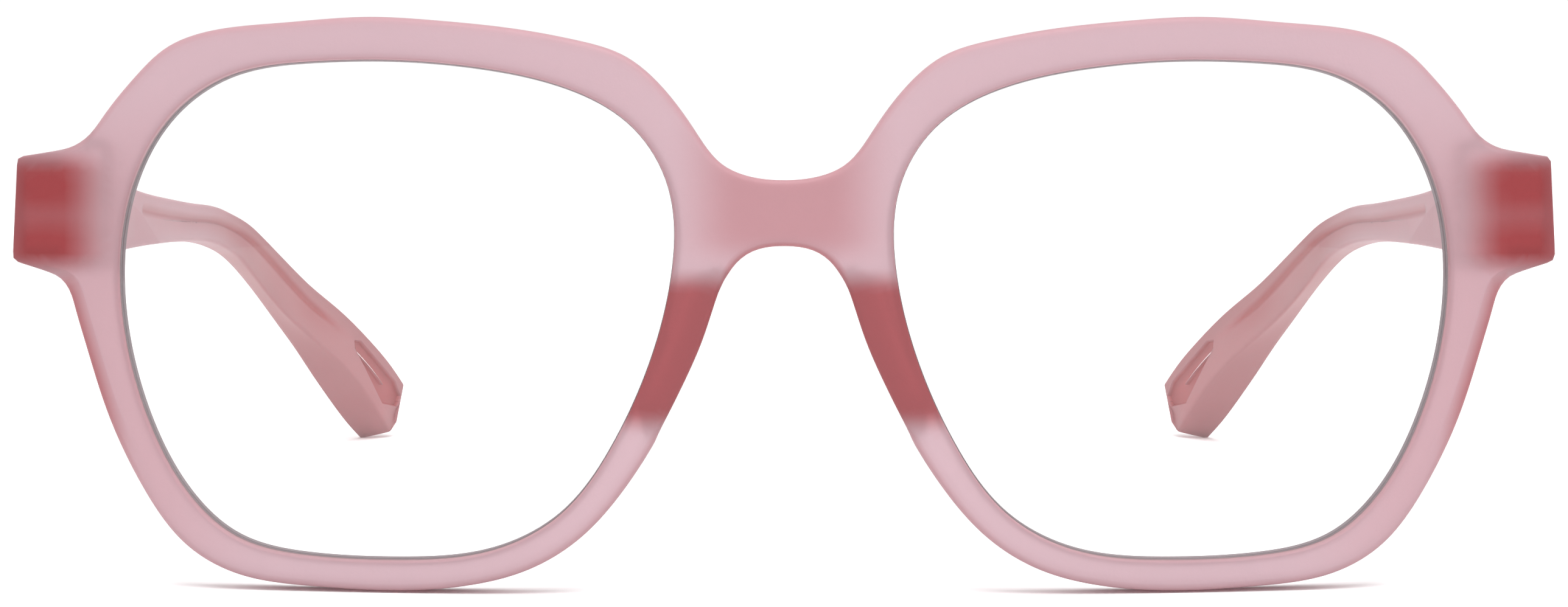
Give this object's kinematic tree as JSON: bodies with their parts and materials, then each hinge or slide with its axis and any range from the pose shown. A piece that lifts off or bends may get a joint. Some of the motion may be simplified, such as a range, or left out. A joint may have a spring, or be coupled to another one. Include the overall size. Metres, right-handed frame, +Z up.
{
  "type": "blue light glasses",
  "caption": "Full-rim frosted plastic glasses with clear plano lenses, moulded nose pads and folding temples on metal hinges.",
  "frame": {"origin": "on the table, under the middle of the open pair of glasses", "axes": "+X to the wearer's left, +Y from the front towards the temple tips, +Z up; -Y is the way the wearer looks"},
  "size_m": [0.144, 0.1433, 0.0529],
  "materials": {
    "frame_plastic": "frosted translucent dusty pink injection-moulded plastic",
    "lens_clear": "clear coated plastic lens with a matt ground edge",
    "hinge_metal": "satin nickel silver",
    "screw_metal": "bright nickel-plated screw"
  },
  "bodies": {
    "front": {"frame_front": "frame_plastic", "lens_left": "lens_clear", "lens_right": "lens_clear", "hinge_front_leaf_left": "hinge_metal", "hinge_front_leaf_right": "hinge_metal", "hinge_screw_left": "screw_metal", "hinge_screw_right": "screw_metal"},
    "temple_arm_left": {"temple_left": "frame_plastic", "hinge_temple_leaf_left": "hinge_metal"},
    "temple_arm_right": {"temple_right": "frame_plastic", "hinge_temple_leaf_right": "hinge_metal"}
  },
  "joints": [
    {"name": "temple_left_fold", "type": "hinge", "parent": "front", "child": "temple_arm_left", "pos_m": [0.0653, -0.05593, 0.03476], "axis": [0, 0.0422, 0.9991], "range_deg": [0, 84]},
    {"name": "temple_right_fold", "type": "hinge", "parent": "front", "child": "temple_arm_right", "pos_m": [-0.0653, -0.05593, 0.03476], "axis": [0, -0.0422, -0.9991], "range_deg": [0, 77]}
  ]
}
